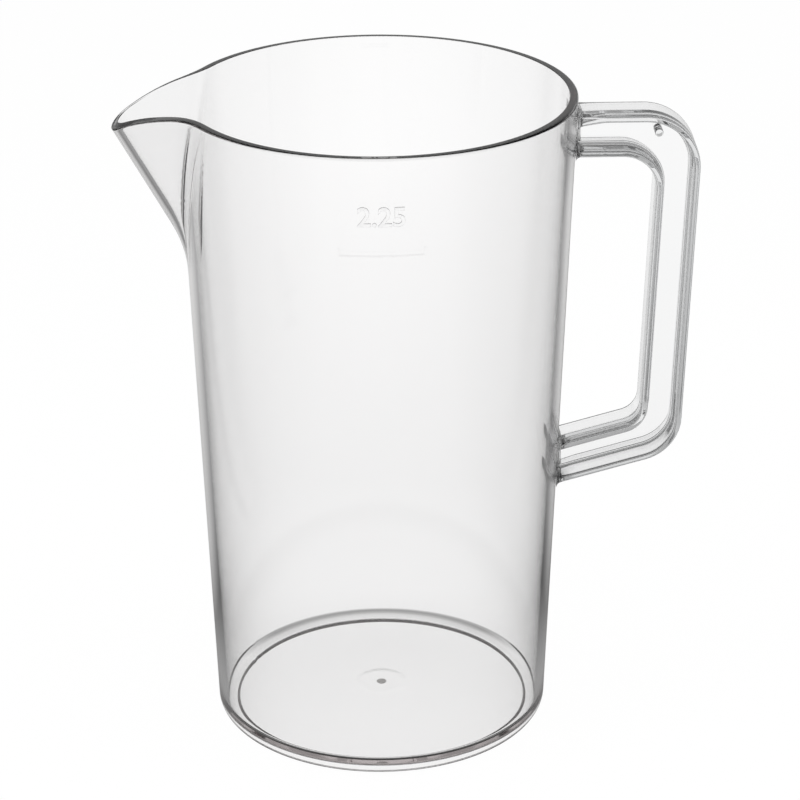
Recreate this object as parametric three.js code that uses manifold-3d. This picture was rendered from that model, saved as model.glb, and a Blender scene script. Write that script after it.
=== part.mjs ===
// Clear plastic jug: a tapered body with a pinched beak spout, and a loop handle
// of I-section bonded to the wall opposite the spout.
// Millimetres, +Z up. The spout points along -X and the handle along +X.

import * as THREE from 'three';
import { mergeVertices } from 'three/addons/utils/BufferGeometryUtils.js';
import Module from 'manifold-3d';

// Body: a straight taper, thick enough to mould in one shot from a gate under the floor.
const jugHeight = 233;
const baseRadius = 59.8; // outside, where the line of the wall meets the table
const rimRadius = 68.5; // outside, at the rim
const wallThickness = 3;
const rimEdgeRadius = 0.9; // rounding on both edges of the rim

// Floor
const floorHeight = 4.9; // top of the floor at its edge, above the table
const floorCrown = 1.8; // rise of the floor at the middle
const baseCornerRadius = 4.2; // outside, between wall and table
const floorFilletRadius = 2.4; // inside, between wall and floor
const standingRingWidth = 2.1; // flat ring that the jug stands on
const recessDepth = 2.2; // hollow of the underside inside the standing ring
const recessEdgeRadius = 0.65; // rounding at the top and the bottom of the step into the hollow
const gateDimpleRadius = 9.2; // shallow dish round the gate mark
const gateDimpleDepth = 0.2;
const gateMarkRadius = 1.8;
const gateMarkHeight = 0.8;

// Spout: two flat flanks that meet in a rounded ridge and run out on the wall below.
const spoutReach = 91.2; // axis to the tip of the lip
const lipDrop = 10; // tip of the lip below the rim
const lipStart = 57; // distance from the axis where the lip begins to fall
const ridgeFootHeight = 178.5; // where the ridge runs out on the wall
const flankHalfAngle = THREE.MathUtils.degToRad(31);
const ridgeRadius = 12.7; // rounding of the ridge, outside
const creaseBlendRim = 6; // width of the blend from flank to wall, at the rim
const creaseBlendFoot = 3.6; // the same blend at the foot of the ridge
const blendStartHeight = 166; // below this the wall is a plain cone

// Handle: a loop whose grip runs parallel to the wall.
const handleWidth = 17; // across the flanges
const armDepth = 14.5; // over both flanges, in the plane of the loop
const flangeThickness = 2.2;
const webThickness = 2.8;
const fingerGap = 28.4; // wall to grip
const upperArmTop = 226.1; // height of the upper arm's top face
const lowerArmHeight = 96.4; // height of the lower arm's middle line at the wall
const lowerArmRise = THREE.MathUtils.degToRad(15.75);
const outerTopRadius = 19;
const innerTopRadius = 12;
const outerBottomRadius = 17;
const innerBottomRadius = 8;
const flangeEdgeRadius = 0.7;
const rootFlareLength = 9; // the top flange thickens over this length to meet the wall
const rootFlareDepth = 1.5;
const rootFlareRadius = 24;
const rootGap = 0.3; // bond line between the handle and the wall
const pinMarkRadius = 1.5; // round mould mark in the upper corner of the web
const pinMarkDepth = 0.4;
const pinMarkInset = 14; // from the grip's outer face
const pinMarkDrop = 7.6; // below the upper arm's top face

// Fineness of the curves
const spoutSteps = 24; // ring points on each side, from the ridge to where the wall is round
const roundSteps = 27; // ring points on each side, from there to the handle
const spoutSector = THREE.MathUtils.degToRad(42);
const wallSteps = 11; // rings between the plain cone and the lip
const edgeSteps = 3; // rings on each rim edge
const filletSteps = 5; // rings on the base corner and on the floor fillet
const recessSteps = 2; // rings on each rounding of the step into the hollow
const crownSteps = 5; // rings on each face of the crowned floor
const cornerSteps = 10; // points on each handle corner

const wallSlope = (rimRadius - baseRadius) / jugHeight;
const tipHeight = jugHeight - lipDrop;
const ridgeSlope = (spoutReach - wallRadius(ridgeFootHeight)) / (tipHeight - ridgeFootHeight);
const lipRun = spoutReach - lipStart;
const lipRadius = (lipRun ** 2 + lipDrop ** 2) / (2 * lipDrop);

function wallRadius(height) {
  return baseRadius + wallSlope * height;
}

function ridgeReach(height) {
  return spoutReach - ridgeSlope * (tipHeight - height);
}

// Larger of two lengths, with a smooth blend where they are within a width of each other.
function smoothMax(first, second, width) {
  const share = Math.max(width - Math.abs(first - second), 0) / width;
  return Math.max(first, second) + (share * share * width) / 4;
}

// Axis to the surface of the spout alone, at an angle from the ridge.
function beakReach(angle, height, inset) {
  const turn = Math.abs(angle);
  const radius = ridgeRadius - inset;
  const tip = ridgeReach(height) - inset * Math.hypot(1, ridgeSlope);
  const centre = tip - radius;
  const sine = Math.sin(flankHalfAngle);
  const cosine = Math.cos(flankHalfAngle);
  if (turn <= Math.atan2(radius * cosine, centre + radius * sine)) {
    return centre * Math.cos(turn) + Math.sqrt(radius ** 2 - (centre * Math.sin(turn)) ** 2);
  }
  const nearest = Math.PI / 2 - flankHalfAngle;
  if (turn >= nearest) {
    return 0;
  }
  return (centre * sine + radius) / Math.sin(flankHalfAngle + turn);
}

// Axis to the wall with its spout. The inset is 0 outside and the wall thickness inside.
function wallReach(angle, height, inset) {
  const share = THREE.MathUtils.clamp((height - ridgeFootHeight) / (jugHeight - ridgeFootHeight), 0, 1);
  const blend = THREE.MathUtils.lerp(creaseBlendFoot, creaseBlendRim, share) + inset;
  return smoothMax(wallRadius(height) - inset, beakReach(angle, height, inset), blend);
}

// Height of the lip at a distance from the axis, measured toward the spout.
function lipHeight(reach) {
  const run = THREE.MathUtils.clamp(reach - lipStart, 0, lipRadius);
  return jugHeight - lipRadius + Math.sqrt(lipRadius ** 2 - run ** 2);
}

// Height at which one face of the wall meets the lip.
function wallTop(angle, inset) {
  let height = jugHeight;
  for (let pass = 0; pass < 30; pass += 1) {
    height = lipHeight(wallReach(angle, height, inset) * Math.cos(angle));
  }
  return height;
}

// Angles round the jug from the ridge, crowded toward the ridge on both sides.
function ringAngles() {
  const side = [];
  for (let step = 1; step <= spoutSteps; step += 1) {
    side.push(spoutSector * (step / spoutSteps) ** 1.5);
  }
  for (let step = 1; step < roundSteps; step += 1) {
    side.push(THREE.MathUtils.lerp(spoutSector, Math.PI, step / roundSteps));
  }
  const mirrored = side.map((angle) => -angle).reverse();
  return [...mirrored, 0, ...side, Math.PI];
}

const angles = ringAngles();

function ringPoint(angle, reach, height) {
  return new THREE.Vector3(-reach * Math.cos(angle), -reach * Math.sin(angle), height);
}

function roundRing(radius, height) {
  return angles.map((angle) => ringPoint(angle, radius, height));
}

// Rings of an arc in the profile, from one direction to another, both measured from +r to +z.
function arcRings(centreRadius, centreHeight, radius, from, to, steps) {
  const rings = [];
  for (let step = 0; step <= steps; step += 1) {
    const turn = THREE.MathUtils.lerp(from, to, step / steps);
    const reach = centreRadius + radius * Math.cos(turn);
    rings.push(roundRing(reach, centreHeight + radius * Math.sin(turn)));
  }
  return rings;
}

// Rise of the floor at a distance from the axis: level at its edge and at the middle.
function crownRise(reach, edge) {
  return (floorCrown * (1 + Math.cos((Math.PI * Math.min(reach, edge)) / edge))) / 2;
}

// One ring of the wall, a share of the way from the plain cone to the rounded rim edge.
function wallRing(share, inset) {
  return angles.map((angle) => {
    const top = wallTop(angle, inset) - rimEdgeRadius;
    const height = THREE.MathUtils.lerp(blendStartHeight, top, share);
    return ringPoint(angle, wallReach(angle, height, inset), height);
  });
}

// One ring of a rounded rim edge. The side is -1 on the outer edge and 1 on the inner edge.
function rimRing(turn, inset, side) {
  return angles.map((angle) => {
    const top = wallTop(angle, inset);
    const reach = wallReach(angle, top - rimEdgeRadius, inset);
    const across = rimEdgeRadius * (1 - Math.cos(turn));
    return ringPoint(angle, reach + side * across, top - rimEdgeRadius * (1 - Math.sin(turn)));
  });
}

// A closed surface from a first pole, through rings of equal count, to a last pole.
function closedSurface(firstPole, rings, lastPole) {
  const count = rings[0].length;
  const points = [firstPole, ...rings.flat(), lastPole];
  const lastIndex = points.length - 1;
  const indices = [];
  for (let step = 0; step < count; step += 1) {
    const next = (step + 1) % count;
    indices.push(0, 1 + next, 1 + step);
    for (let ring = 0; ring + 1 < rings.length; ring += 1) {
      const low = 1 + ring * count;
      const high = low + count;
      indices.push(low + step, low + next, high + next);
      indices.push(low + step, high + next, high + step);
    }
    const top = lastIndex - count;
    indices.push(top + step, top + next, lastIndex);
  }
  const geometry = new THREE.BufferGeometry().setFromPoints(points);
  geometry.setIndex(indices);
  return geometry;
}

// The corner arc of a cone-shaped wall starts square to the wall, so it leaves no step there.
function bodyGeometry() {
  const lean = Math.atan(wallSlope);
  const cornerReach = wallRadius(baseCornerRadius) - baseCornerRadius / Math.cos(lean);
  const filletHeight = floorHeight + floorFilletRadius;
  const filletReach = wallRadius(filletHeight) - wallThickness - floorFilletRadius / Math.cos(lean);
  const ringReach = cornerReach - standingRingWidth;
  const hollowReach = ringReach - 2 * recessEdgeRadius;
  const dimpleTop = recessDepth + floorCrown + gateDimpleDepth;
  const underside = [
    roundRing(gateMarkRadius, dimpleTop - gateMarkHeight),
    roundRing(gateMarkRadius, dimpleTop),
    roundRing(gateDimpleRadius - gateDimpleDepth, dimpleTop),
  ];
  const floor = [];
  for (let step = 0; step <= crownSteps; step += 1) {
    const under = THREE.MathUtils.lerp(gateDimpleRadius, hollowReach, step / (crownSteps + 1));
    underside.push(roundRing(under, recessDepth + crownRise(under, hollowReach)));
    const over = THREE.MathUtils.lerp(filletReach, 0, (step + 1) / (crownSteps + 2));
    floor.push(roundRing(over, floorHeight + crownRise(over, filletReach)));
  }
  const stepTop = arcRings(
    hollowReach,
    recessDepth - recessEdgeRadius,
    recessEdgeRadius,
    Math.PI / 2,
    0,
    recessSteps,
  );
  const stepFoot = arcRings(
    ringReach,
    recessEdgeRadius,
    recessEdgeRadius,
    Math.PI,
    Math.PI * 1.5,
    recessSteps,
  );
  const corner = arcRings(cornerReach, baseCornerRadius, baseCornerRadius, -Math.PI / 2, -lean, filletSteps);
  const outside = [];
  const inside = [];
  for (let step = 0; step <= wallSteps; step += 1) {
    outside.push(wallRing(step / wallSteps, 0));
    inside.push(wallRing(1 - step / wallSteps, wallThickness));
  }
  const rim = [];
  for (let step = 1; step <= edgeSteps; step += 1) {
    rim.push(rimRing((Math.PI / 2) * (step / edgeSteps), 0, -1));
  }
  for (let step = edgeSteps; step >= 1; step -= 1) {
    rim.push(rimRing((Math.PI / 2) * (step / edgeSteps), wallThickness, 1));
  }
  const fillet = arcRings(filletReach, filletHeight, floorFilletRadius, -lean, -Math.PI / 2, filletSteps);
  const firstPole = new THREE.Vector3(0, 0, dimpleTop - gateMarkHeight);
  const lastPole = new THREE.Vector3(0, 0, floorHeight + floorCrown);
  const below = [...underside, ...stepTop, ...stepFoot, ...corner];
  const rings = [...below, ...outside, ...rim, ...inside, ...fillet, ...floor];
  return closedSurface(firstPole, rings, lastPole);
}

// A straight edge of the handle's outline: a point on it and its direction, in the XZ plane.
function edgeLine(x, z, direction) {
  return { point: new THREE.Vector2(x, z), direction: new THREE.Vector2(Math.cos(direction), Math.sin(direction)) };
}

function crossing(first, second) {
  const between = second.point.clone().sub(first.point);
  const run = between.cross(second.direction) / first.direction.cross(second.direction);
  return first.point.clone().addScaledVector(first.direction, run);
}

// Replaces each corner of an outline that has a radius with an arc tangent to both edges.
function roundedOutline(corners) {
  const outline = [];
  corners.forEach((corner, index) => {
    if (corner.radius === 0) {
      outline.push(corner.point);
      return;
    }
    const before = corners[(index + corners.length - 1) % corners.length].point;
    const after = corners[(index + 1) % corners.length].point;
    const back = before.clone().sub(corner.point).normalize();
    const ahead = after.clone().sub(corner.point).normalize();
    const half = Math.acos(back.dot(ahead)) / 2;
    const bisector = back.clone().add(ahead).normalize();
    const centre = corner.point.clone().addScaledVector(bisector, corner.radius / Math.sin(half));
    const start = corner.point.clone().addScaledVector(back, corner.radius / Math.tan(half)).sub(centre);
    const sweep = (Math.PI - 2 * half) * Math.sign(back.cross(ahead)) * -1;
    for (let step = 0; step <= cornerSteps; step += 1) {
      const turned = start.clone().rotateAround(new THREE.Vector2(), (sweep * step) / cornerSteps);
      outline.push(turned.add(centre));
    }
  });
  return outline;
}

// Outline of the loop, moved inward by an inset all round, with both ends inside the wall.
function loopOutline(inset, flared) {
  const gripLean = Math.PI / 2 - Math.atan(wallSlope);
  const gripInner = baseRadius + fingerGap;
  const endReach = baseRadius - wallThickness;
  const lowerHalf = (armDepth / 2 - inset) / Math.cos(lowerArmRise);
  const lowerMiddle = lowerArmHeight - wallRadius(lowerArmHeight) * Math.tan(lowerArmRise);
  const end = edgeLine(endReach, 0, Math.PI / 2);
  const top = edgeLine(0, upperArmTop - inset, 0);
  const outer = edgeLine(gripInner + armDepth - inset, 0, gripLean);
  const bottom = edgeLine(0, lowerMiddle - lowerHalf, lowerArmRise);
  const lowerTop = edgeLine(0, lowerMiddle + lowerHalf, lowerArmRise);
  const inner = edgeLine(gripInner + inset, 0, gripLean);
  const upperBottom = edgeLine(0, upperArmTop - armDepth + inset, 0);
  const corners = [
    { point: crossing(end, upperBottom), radius: 0 },
    { point: crossing(inner, upperBottom), radius: innerTopRadius + inset },
    { point: crossing(inner, lowerTop), radius: innerBottomRadius + inset },
    { point: crossing(end, lowerTop), radius: 0 },
    { point: crossing(end, bottom), radius: 0 },
    { point: crossing(outer, bottom), radius: outerBottomRadius - inset },
    { point: crossing(outer, top), radius: outerTopRadius - inset },
  ];
  if (flared) {
    const wallFace = wallRadius(upperArmTop);
    const height = upperArmTop - inset;
    const steep = rootFlareDepth / rootFlareLength;
    const overrun = wallFace - endReach;
    corners.push({ point: new THREE.Vector2(wallFace + rootFlareLength, height), radius: rootFlareRadius });
    corners.push({
      point: new THREE.Vector2(endReach, height - rootFlareDepth - overrun * steep),
      radius: 0,
    });
  } else {
    corners.push({ point: crossing(end, top), radius: 0 });
  }
  return roundedOutline(corners);
}

// An outline in the XZ plane, made solid from one value of Y to another.
function plate(outline, fromY, toY, edgeRadius) {
  const thickness = toY - fromY;
  const geometry = new THREE.ExtrudeGeometry(new THREE.Shape(outline), {
    depth: thickness - 2 * edgeRadius,
    bevelEnabled: edgeRadius > 0,
    bevelThickness: edgeRadius,
    bevelSize: edgeRadius,
    bevelOffset: -edgeRadius,
    bevelSegments: 3,
    steps: 1,
  });
  geometry.rotateX(Math.PI / 2);
  geometry.translate(0, toY - edgeRadius, 0);
  return geometry;
}

const wasm = await Module();
wasm.setup();

function solidOf(geometry) {
  const bare = new THREE.BufferGeometry();
  bare.setAttribute('position', geometry.getAttribute('position'));
  bare.setIndex(geometry.getIndex());
  const merged = mergeVertices(bare, 1e-4);
  const vertProperties = new Float32Array(merged.getAttribute('position').array);
  const triVerts = new Uint32Array(merged.getIndex().array);
  return new wasm.Manifold(new wasm.Mesh({ numProp: 3, vertProperties, triVerts }));
}

function geometryOf(solid) {
  const mesh = solid.getMesh();
  const geometry = new THREE.BufferGeometry();
  geometry.setAttribute('position', new THREE.BufferAttribute(new Float32Array(mesh.vertProperties), 3));
  geometry.setIndex(new THREE.BufferAttribute(new Uint32Array(mesh.triVerts), 1));
  return geometry;
}

// The plain cone of the wall, larger by the bond line, which trims the ends of the handle.
function rootTrimGeometry() {
  const overrun = wallThickness;
  const low = roundRing(wallRadius(-overrun) + rootGap, -overrun);
  const high = roundRing(wallRadius(jugHeight + overrun) + rootGap, jugHeight + overrun);
  const firstPole = new THREE.Vector3(0, 0, -overrun);
  return closedSurface(firstPole, [low, high], new THREE.Vector3(0, 0, jugHeight + overrun));
}

function pinMarkGeometry() {
  const overrun = 1;
  const depth = pinMarkDepth + overrun;
  const height = upperArmTop - pinMarkDrop;
  const reach = wallRadius(height) + fingerGap + armDepth - pinMarkInset;
  const geometry = new THREE.CylinderGeometry(pinMarkRadius, pinMarkRadius, depth, 24);
  geometry.translate(reach, -webThickness / 2 + pinMarkDepth - depth / 2, height);
  return geometry;
}

function handleGeometry() {
  const half = handleWidth / 2;
  const webHalf = webThickness / 2;
  const overrun = 1;
  const loop = solidOf(plate(loopOutline(0, false), -half, half, flangeEdgeRadius));
  const pocket = loopOutline(flangeThickness, true);
  const cuts = [
    solidOf(plate(pocket, webHalf, half + overrun, 0)),
    solidOf(plate(pocket, -half - overrun, -webHalf, 0)),
    solidOf(pinMarkGeometry()),
    solidOf(rootTrimGeometry()),
  ];
  return geometryOf(wasm.Manifold.difference([loop, ...cuts]));
}

function clearPlastic(color) {
  return new THREE.MeshStandardMaterial({ color, roughness: 0.08, transparent: true, opacity: 0.45 });
}

const body = new THREE.Mesh(bodyGeometry(), clearPlastic(0xe9eef0));
body.name = 'jug_body';
const handle = new THREE.Mesh(handleGeometry(), clearPlastic(0xdfe6ea));
handle.name = 'handle';

// The origin is on the table, under the middle of the whole jug.
const extent = new THREE.Box3();
for (const mesh of [body, handle]) {
  mesh.geometry.computeBoundingBox();
  extent.union(mesh.geometry.boundingBox);
}
const middle = extent.getCenter(new THREE.Vector3());
const jug = new THREE.Group();
jug.name = 'jug';
for (const mesh of [body, handle]) {
  mesh.geometry.translate(-middle.x, -middle.y, 0);
  mesh.geometry.computeVertexNormals();
  jug.add(mesh);
}

export default jug;
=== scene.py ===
"""Clear moulded jug with a beak spout and a bonded loop handle, dressed for its picture.

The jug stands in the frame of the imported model: metres, +Z up, spout along -X, handle along +X.
Sizes are written in millimetres from the jug's own axis and become metres where a mesh is made.
"""

from __future__ import annotations

import logging
import math
from dataclasses import dataclass, field
from enum import Enum

import bmesh
import bpy
from mathutils import Matrix, Vector

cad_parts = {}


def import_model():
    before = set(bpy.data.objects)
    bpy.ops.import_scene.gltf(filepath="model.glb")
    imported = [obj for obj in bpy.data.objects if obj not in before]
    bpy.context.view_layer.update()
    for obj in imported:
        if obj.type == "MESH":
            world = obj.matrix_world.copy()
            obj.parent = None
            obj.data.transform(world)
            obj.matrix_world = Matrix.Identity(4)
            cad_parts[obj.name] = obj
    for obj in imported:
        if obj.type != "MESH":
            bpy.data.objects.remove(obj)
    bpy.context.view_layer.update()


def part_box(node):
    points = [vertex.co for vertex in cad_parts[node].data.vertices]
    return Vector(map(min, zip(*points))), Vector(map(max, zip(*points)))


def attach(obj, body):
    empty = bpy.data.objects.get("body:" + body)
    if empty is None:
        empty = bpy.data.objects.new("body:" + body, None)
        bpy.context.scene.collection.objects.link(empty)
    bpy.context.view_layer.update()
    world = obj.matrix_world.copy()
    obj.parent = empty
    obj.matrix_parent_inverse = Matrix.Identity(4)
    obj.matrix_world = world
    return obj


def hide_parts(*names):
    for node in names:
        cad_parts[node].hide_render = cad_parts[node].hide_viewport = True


MM = 0.001
BODY_NODE = "jug_body"
HANDLE_NODE = "handle"
ROOT = "root"
CRISP = 40.0  # degrees above which an edge stays crisp
WHITE = (1.0, 1.0, 1.0, 1.0)
ROUNDS = 30  # rounds in which a length that depends on itself settles

Tree = bpy.types.NodeTree
Socket = bpy.types.NodeSocket
Outputs = bpy.types.NodeOutputs
Thing = bpy.types.Object
Faces = list[tuple[int, ...]]
Row = tuple[float, ...]
Pair = tuple[float, float]
Spot = tuple[float, float, float]

log = logging.getLogger("jug")


def linear(hex_colour: str) -> tuple[float, float, float, float]:
    """Turns an sRGB hex colour into linear light.

    Args:
        hex_colour: Six hex digits after a hash.

    Returns:
        Red, green, blue and an alpha of 1.
    """
    channels = [int(hex_colour[at : at + 2], 16) / 255 for at in (1, 3, 5)]
    light = [c / 12.92 if c <= 0.04045 else ((c + 0.055) / 1.055) ** 2.4 for c in channels]
    return light[0], light[1], light[2], 1.0


def bare_tree(owner: bpy.types.Material | bpy.types.World) -> Tree:
    """Switches an owner's nodes on and clears them.

    Args:
        owner: The material or the world.

    Returns:
        Its empty tree.
    """
    owner.use_nodes = True
    owner.node_tree.nodes.clear()
    return owner.node_tree


def add_node(tree: Tree, kind: str, sockets: dict | None = None, **settings: object) -> Outputs:
    """Adds one node with its settings and links.

    Args:
        tree: The tree that gets the node.
        kind: The shader node's type name.
        sockets: Inputs by name or number, each a plain value or the output that feeds it.
        **settings: The node's own options.

    Returns:
        The new node's outputs.
    """
    node = tree.nodes.new("ShaderNode" + kind)
    for name, value in settings.items():
        setattr(node, name, value)
    for key, value in (sockets or {}).items():
        if isinstance(value, Socket):
            tree.links.new(value, node.inputs[key])
        else:
            node.inputs[key].default_value = value
    return node.outputs


def clamp(value: float, low: float = 0.0, high: float = 1.0) -> float:
    """Keeps a value between two limits."""
    return max(low, min(high, value))


def lerp(start: float, end: float, share: float) -> float:
    """A share of the way from one value to another."""
    return start + (end - start) * share


def spread(start: float, end: float, steps: int) -> list[float]:
    """Evenly spaced values, both ends among them."""
    return [lerp(start, end, step / steps) for step in range(steps + 1)]


def ease(share: float) -> float:
    """A smooth step from 0 to 1."""
    held = clamp(share)
    return held * held * (3 - 2 * held)


@dataclass(frozen=True)
class ClearMoulding:
    """Styrene acrylonitrile, injection moulded against a polished tool.

    The eye sees glass-clear walls with a gloss, dark and bright lines where the edges bend the
    light, a faint grey in the thick sections, and a slow ripple where the melt flowed and cooled.
    Real scuffs are finer than a pixel, so they are drawn as coarse as they need to show.
    """

    name: str
    tint: str = "#ffffff"
    depth_colour: str = "#efe5e5"
    depth_density: float = 9.0
    refraction: float = 1.57
    gloss: float = 0.012
    dull: float = 0.03
    flow_spacing: float = 42.0
    flow_height: float = 0.012
    scuff_spacing: float = 2.6
    scuff_height: float = 0.0002
    scuffed: Pair = (0.45, 0.8)
    shadow_tint: str = "#f6f5f4"

    def material(self) -> bpy.types.Material:
        """Makes the node material.

        Returns:
            A clear plastic that lets lamps through and greys with depth.
        """
        made = bpy.data.materials.new(self.name)
        tree = bare_tree(made)
        place = add_node(tree, "TexCoord")["Object"]
        flow = add_node(
            tree,
            "TexNoise",
            {"Vector": place, "Scale": 1 / (self.flow_spacing * MM), "Detail": 1.0},
        )["Fac"]
        scuff = add_node(
            tree,
            "TexNoise",
            {"Vector": place, "Scale": 1 / (self.scuff_spacing * MM), "Detail": 4.0},
        )["Fac"]
        worn = add_node(
            tree,
            "MapRange",
            {
                "Value": scuff,
                "From Min": self.scuffed[0],
                "From Max": self.scuffed[1],
                "To Min": self.gloss,
                "To Max": self.dull,
            },
        )["Result"]
        ripple = add_node(
            tree,
            "Bump",
            {"Height": flow, "Strength": 1.0, "Distance": self.flow_height * MM},
        )["Normal"]
        relief = add_node(
            tree,
            "Bump",
            {"Height": scuff, "Strength": 1.0, "Distance": self.scuff_height * MM, "Normal": ripple},
        )["Normal"]
        plastic = add_node(
            tree,
            "BsdfPrincipled",
            {
                "Base Color": linear(self.tint),
                "Roughness": worn,
                "IOR": self.refraction,
                "Transmission Weight": 1.0,
                "Normal": relief,
            },
        )["BSDF"]
        tint = linear(self.shadow_tint)
        passing = add_node(tree, "BsdfTransparent", {"Color": tint})[0]
        shadow = add_node(tree, "LightPath")["Is Shadow Ray"]
        surface = add_node(tree, "MixShader", {0: shadow, 1: plastic, 2: passing})[0]
        depth = add_node(
            tree,
            "VolumeAbsorption",
            {"Color": linear(self.depth_colour), "Density": self.depth_density},
        )["Volume"]
        add_node(tree, "OutputMaterial", {"Surface": surface, "Volume": depth})
        return made


@dataclass(frozen=True)
class JugPlace:
    """Where the jug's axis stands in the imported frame."""

    axis_x: float

    def metres(self, point: Vector) -> Vector:
        """A point of the jug, from millimetres off its axis to the frame."""
        return Vector((point.x * MM + self.axis_x, point.y * MM, point.z * MM))


def skin(rings: list[list[Vector]], first: Vector, last: Vector) -> tuple[list[Vector], Faces]:
    """Closes a stack of rings into one skin with a point at each end.

    Args:
        rings: Rings with the same number of points, in order.
        first: The point that closes the first ring.
        last: The point that closes the last ring.

    Returns:
        The skin's points and the corner numbers of its faces.
    """
    count = len(rings[0])
    points = [first, *(point for ring in rings for point in ring), last]
    end = len(points) - 1
    faces: Faces = []
    for step in range(count):
        after = (step + 1) % count
        faces.append((0, 1 + after, 1 + step))
        faces.append((end - count + step, end - count + after, end))
        for ring in range(len(rings) - 1):
            low = 1 + ring * count
            high = low + count
            faces.append((low + step, low + after, high + after, high + step))
    return points, faces


def solid(name: str, points: list[Vector], faces: Faces, place: JugPlace) -> Thing:
    """Makes one closed, smooth-shaded object.

    Args:
        name: The piece's name.
        points: Corners in millimetres from the jug's axis.
        faces: Corner numbers of each face.
        place: Where the axis stands.

    Returns:
        The object, linked to the scene.
    """
    mesh = bpy.data.meshes.new(name)
    mesh.from_pydata([place.metres(point) for point in points], [], faces)
    mesh.validate()
    work = bmesh.new()
    work.from_mesh(mesh)
    bmesh.ops.recalc_face_normals(work, faces=work.faces)
    if work.calc_volume(signed=True) < 0:
        bmesh.ops.reverse_faces(work, faces=work.faces)
    work.to_mesh(mesh)
    work.free()
    mesh.shade_smooth()
    mesh.set_sharp_from_angle(angle=math.radians(CRISP))
    made = bpy.data.objects.new(name, mesh)
    bpy.context.scene.collection.objects.link(made)
    return made


@dataclass(frozen=True)
class WallCone:
    """The straight taper that carries the spout, the handle and the marks."""

    height: float = 233.0
    base_radius: float = 59.8
    rim_radius: float = 68.5
    thickness: float = 3.0

    @property
    def slope(self) -> float:
        """Growth of the radius with height."""
        return (self.rim_radius - self.base_radius) / self.height

    @property
    def lean(self) -> float:
        """Angle of the wall from upright."""
        return math.atan(self.slope)

    def radius(self, height: float) -> float:
        """Outside radius at a height."""
        return self.base_radius + self.slope * height


@dataclass(frozen=True)
class BeakSpout:
    """Two flat flanks that meet in a rounded ridge and run out on the wall below."""

    wall: WallCone
    reach: float = 91.2
    lip_drop: float = 10.0
    lip_start: float = 57.0
    ridge_foot: float = 178.5
    half_angle: float = math.radians(31)
    ridge_radius: float = 12.7
    crease_rim: float = 4.5
    crease_foot: float = 4.8
    inner_ease: float = 0.4
    plain_below: float = 166.0

    @property
    def tip_height(self) -> float:
        """Height of the lip's tip."""
        return self.wall.height - self.lip_drop

    @property
    def ridge_slope(self) -> float:
        """Growth of the ridge's reach with height."""
        run = self.reach - self.wall.radius(self.ridge_foot)
        return run / (self.tip_height - self.ridge_foot)

    def flank(self, angle: float, height: float, inset: float) -> float:
        """Distance from the axis to the spout's own surface.

        Args:
            angle: Turn from the ridge.
            height: Height above the table.
            inset: 0 for the outside, the wall's thickness for the inside.

        Returns:
            The distance, 0 where the flank faces away.
        """
        turn = abs(angle)
        radius = self.ridge_radius - inset
        tip = self.reach - self.ridge_slope * (self.tip_height - height)
        centre = tip - inset * math.hypot(1, self.ridge_slope) - radius
        sine, cosine = math.sin(self.half_angle), math.cos(self.half_angle)
        if turn <= math.atan2(radius * cosine, centre + radius * sine):
            return centre * math.cos(turn) + math.sqrt(radius**2 - (centre * math.sin(turn)) ** 2)
        if turn >= math.pi / 2 - self.half_angle:
            return 0.0
        return (centre * sine + radius) / math.sin(self.half_angle + turn)

    def face(self, angle: float, height: float, inset: float) -> float:
        """Distance from the axis to the wall with its spout, creases blended.

        Args:
            angle: Turn from the ridge.
            height: Height above the table.
            inset: 0 for the outside, the wall's thickness for the inside.

        Returns:
            The distance.
        """
        share = clamp((height - self.ridge_foot) / (self.wall.height - self.ridge_foot))
        width = lerp(self.crease_foot, self.crease_rim, share) + inset * self.inner_ease
        plain, beak = self.wall.radius(height) - inset, self.flank(angle, height, inset)
        overlap = max(width - abs(plain - beak), 0) / width
        return max(plain, beak) + overlap * overlap * width / 4

    def lip(self, angle: float, inset: float) -> float:
        """Height at which one face of the wall meets the falling lip.

        Args:
            angle: Turn from the ridge.
            inset: 0 for the outside, the wall's thickness for the inside.

        Returns:
            The height of the rim there.
        """
        run = self.reach - self.lip_start
        arc = (run**2 + self.lip_drop**2) / (2 * self.lip_drop)
        height = self.wall.height
        for _ in range(ROUNDS):
            out = clamp(self.face(angle, height, inset) * math.cos(angle) - self.lip_start, 0, arc)
            height = self.wall.height - arc + math.sqrt(arc**2 - out**2)
        return height


@dataclass(frozen=True)
class FillLine:
    """A raised line on the front wall, moulded in one with it."""

    height: float = 199.3
    half_turn: float = math.radians(12.6)
    run_out: float = math.radians(0.35)
    tick_turn: float = math.radians(0.6)
    tick_height: float = 2.4
    width: float = 0.75
    relief: float = 0.2

    def turns(self) -> list[float]:
        """Turns from the ridge that the line's two ends need."""
        steps = spread(-self.run_out, self.tick_turn + self.run_out, 8)
        return [math.pi / 2 + side * (self.half_turn - step) for side in (-1, 1) for step in steps]

    def rise(self, angle: float, height: float) -> float:
        """How far the line stands off the wall.

        Args:
            angle: Turn from the ridge; the front is a quarter turn.
            height: Height above the table.

        Returns:
            The relief there.
        """
        off = (height - self.height) / (self.width / 2)
        inside = self.half_turn - abs(angle - math.pi / 2)
        if off > 0 and 0 < inside < self.tick_turn + self.run_out:
            off = max(off - 2 * self.tick_height / self.width, 0.0)
            flank = ease((self.tick_turn + self.run_out - inside) / self.run_out)
            level = clamp(abs(height - self.height) * 2 / self.width)
            stroke = max(flank if off < 1 else 0.0, math.cos(level * math.pi / 2) ** 2)
            fade = math.cos(clamp(off) * math.pi / 2) ** 2
            return self.relief * ease(inside / self.run_out) * stroke * fade
        if abs(off) >= 1:
            return 0.0
        return self.relief * ease(inside / self.run_out) * math.cos(off * math.pi / 2) ** 2


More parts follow.
